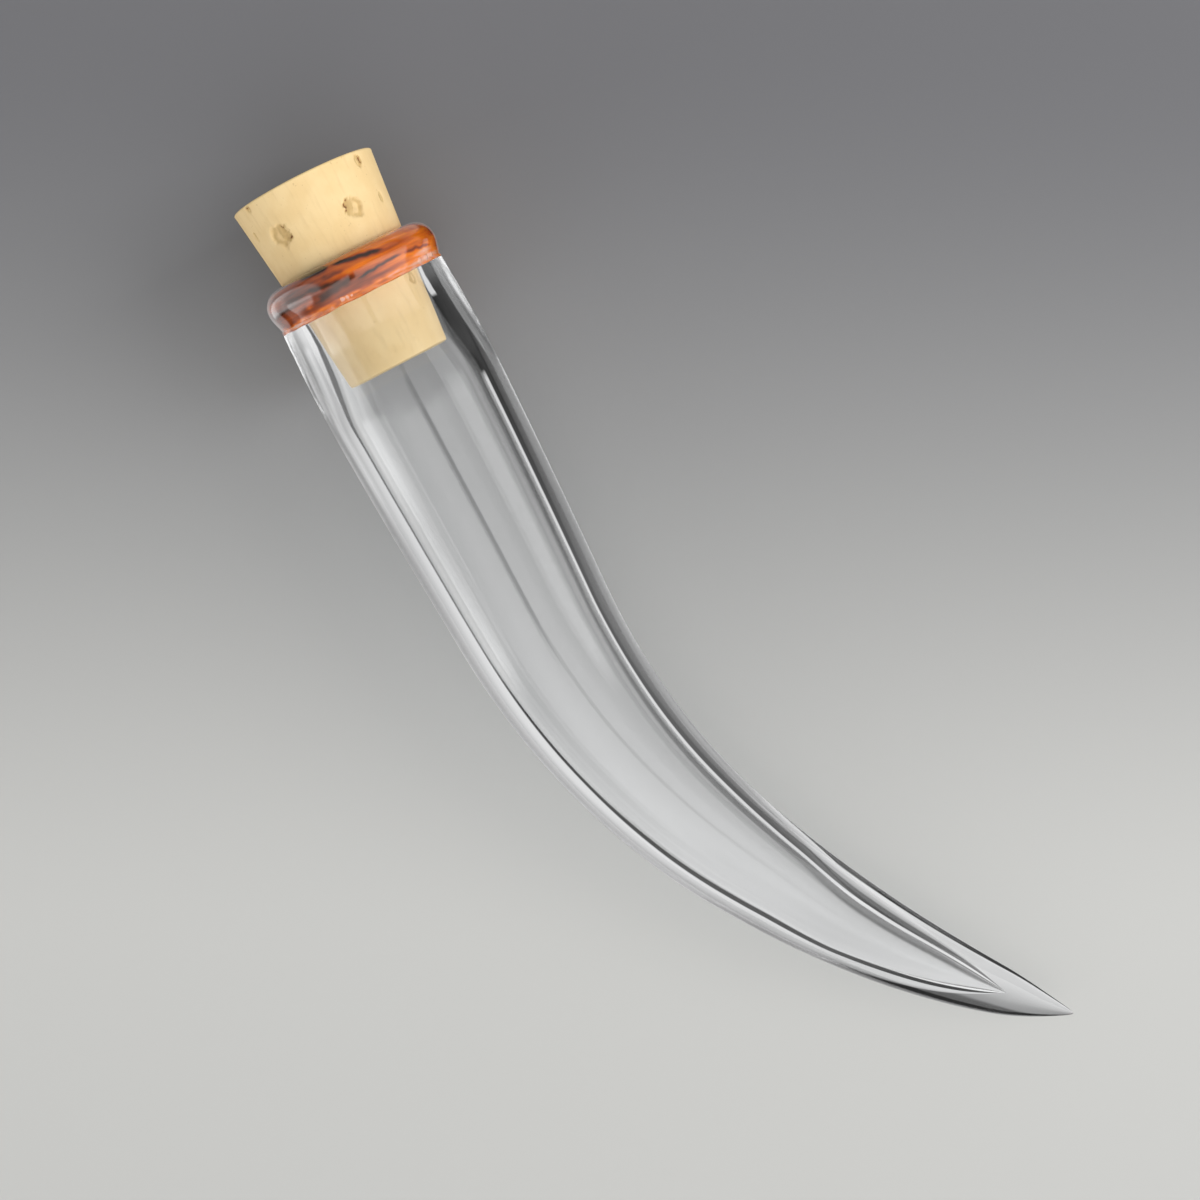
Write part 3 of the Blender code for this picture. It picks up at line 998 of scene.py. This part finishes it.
def paper_level(tree, direction, ahead, across):
    """The light of the sweep of paper, which ends at its top."""
    lifted = along(tree, direction, view_axes()[1])
    steep = along(tree, direction, HORN_TURN @ Vector((-PAPER_TOP_SLOPE, 0.0, 1.0)))
    paper = ramp(tree, lifted, *PAPER_FADE, PAPER_PALE, PAPER_DEEP)
    paper = maths(tree, "ADD", paper, ramp(tree, across, *LEFT_GLOW_FADE, LEFT_GLOW, 0.0))
    glow = window(tree, across, *MOUTH_GLOW_ACROSS, MOUTH_GLOW_EDGE)
    glow = product(tree, glow, MOUTH_GLOW, fall(tree, ahead, *MOUTH_GLOW_ENDS))
    return product(tree, maths(tree, "ADD", paper, glow), fall(tree, steep, *PAPER_TOP))


def backdrop_level(tree, direction, height, ahead, across):
    """The light below the horizon: the paper, and what is beyond it."""
    paper = paper_level(tree, direction, ahead, across)
    dark_right = ramp(tree, ahead, *DARK_RIGHT_FADE, 0.0, DARK_RIGHT_LEVEL)
    level = blended_value(tree, ramp(tree, across, *PAPER_RIGHT), paper, dark_right)
    strip = window(tree, across, *STRIP_ACROSS, STRIP_EDGE)
    strip = product(tree, strip, STRIP_LEVEL, ramp(tree, ahead, *STRIP_STARTS))
    level = maths(tree, "ADD", maths(tree, "ADD", level, strip), DARK_LEVEL)
    low_left = product(tree, fall(tree, across, *LOW_LEFT_ACROSS), ramp(tree, height, *LOW_LEFT_HEIGHT))
    level = blended_value(tree, low_left, level, LOW_LEFT_LEVEL)
    return blended_value(tree, ramp(tree, across, *FAR_RIGHT_ACROSS), level, FAR_RIGHT_LEVEL)


def sheen_level(tree, path, ahead, across):
    """The light that only mirrored rays see. A ray bent by glass counts as glossy too, and is taken out."""
    mirrored = maths(tree, "SUBTRACT", path.outputs["Is Glossy Ray"], path.outputs["Is Transmission Ray"])
    mirrored = maths(tree, "MAXIMUM", mirrored, 0.0)
    sheen = window(tree, across, *SHEEN_ACROSS, SHEEN_EDGE)
    sheen = product(tree, sheen, window(tree, ahead, *SHEEN_AHEAD, SHEEN_EDGE))
    return product(tree, sheen, mirrored, SHEEN_LEVEL)


def make_world():
    """A soft studio whose light differs by direction, and a plain background for the camera."""
    world = bpy.data.worlds.new("studio")
    bpy.context.scene.world = world
    world.use_nodes = True
    tree = world.node_tree
    tree.nodes.clear()
    path = add(tree, "ShaderNodeLightPath")
    direction = add(tree, "ShaderNodeTexCoord").outputs["Generated"]
    height = along(tree, direction, (0.0, 0.0, 1.0))
    ahead = along(tree, direction, HORN_TURN @ Vector((1.0, 0.0, 0.0)))
    across = along(tree, direction, HORN_TURN @ Vector((0.0, 1.0, 0.0)))
    backdrop = backdrop_level(tree, direction, height, ahead, across)
    level = blended_value(tree, ramp(tree, height, *HORIZON), backdrop, dome_level(tree, ahead, across))
    dip = window(tree, height, *BEHIND_DIP_HEIGHT, BEHIND_DIP_EDGE)
    behind = maths(tree, "SUBTRACT", BEHIND_LEVEL, product(tree, dip, BEHIND_DIP))
    level = blended_value(tree, fall(tree, ahead, *BEHIND_AHEAD), level, behind)
    level = maths(tree, "ADD", level, sheen_level(tree, path, ahead, across))
    level = blended_value(tree, path.outputs["Is Camera Ray"], level, BACKGROUND_LEVEL)
    sky = add(tree, "ShaderNodeBackground")
    tree.links.new(level, sky.inputs["Strength"])
    show(tree, sky, "ShaderNodeOutputWorld")


def make_lamp(name, place, aim, size, power):
    """A soft square lamp that points at a place, and that shows in no reflection."""
    lamp = bpy.data.lights.new(name, "AREA")
    lamp.size = size
    lamp.energy = power
    item = bpy.data.objects.new(name, lamp)
    bpy.context.scene.collection.objects.link(item)
    item.location = place
    item.rotation_mode = "QUATERNION"
    item.rotation_quaternion = (Vector(aim) - Vector(place)).to_track_quat("-Z", "Y")
    item.visible_glossy = False
    item.visible_transmission = False


def make_camera():
    """The photograph's own view."""
    right, upward, forward = view_axes()
    data = bpy.data.cameras.new("camera")
    data.lens = CAMERA_LENS
    data.sensor_width = CAMERA_SENSOR
    data.clip_start = 0.01
    camera = bpy.data.objects.new("camera", data)
    bpy.context.scene.collection.objects.link(camera)
    turn = Matrix((right, upward, -forward)).transposed().to_4x4()
    camera.matrix_world = Matrix.Translation(HORN @ CAMERA_PLACE) @ turn
    bpy.context.scene.camera = camera


def dress(piece, material, body, node):
    """Gives a piece its material and puts it in the place of a CAD node."""
    piece.data.materials.append(material)
    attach(piece, body)
    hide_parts(node)


def main():
    """Makes the three pieces and the stage, and sets how the glass is traced."""
    dress(make_vial(), clear_glass(), "vial", "vial_body")
    dress(make_lip(), amber_glass(), "vial", "lip_ring")
    dress(make_cork(), cork_finish(), "cork", "cork_stopper")
    make_floor()
    make_world()
    make_lamp("key", KEY_PLACE, (0.0, 0.0, 0.0), KEY_SIZE, KEY_POWER)
    make_camera()
    scene = bpy.context.scene
    scene.view_settings.view_transform = "Standard"
    scene.cycles.max_bounces = 32
    scene.cycles.transmission_bounces = 24
    scene.cycles.glossy_bounces = 16
    scene.cycles.transparent_max_bounces = 32


main()
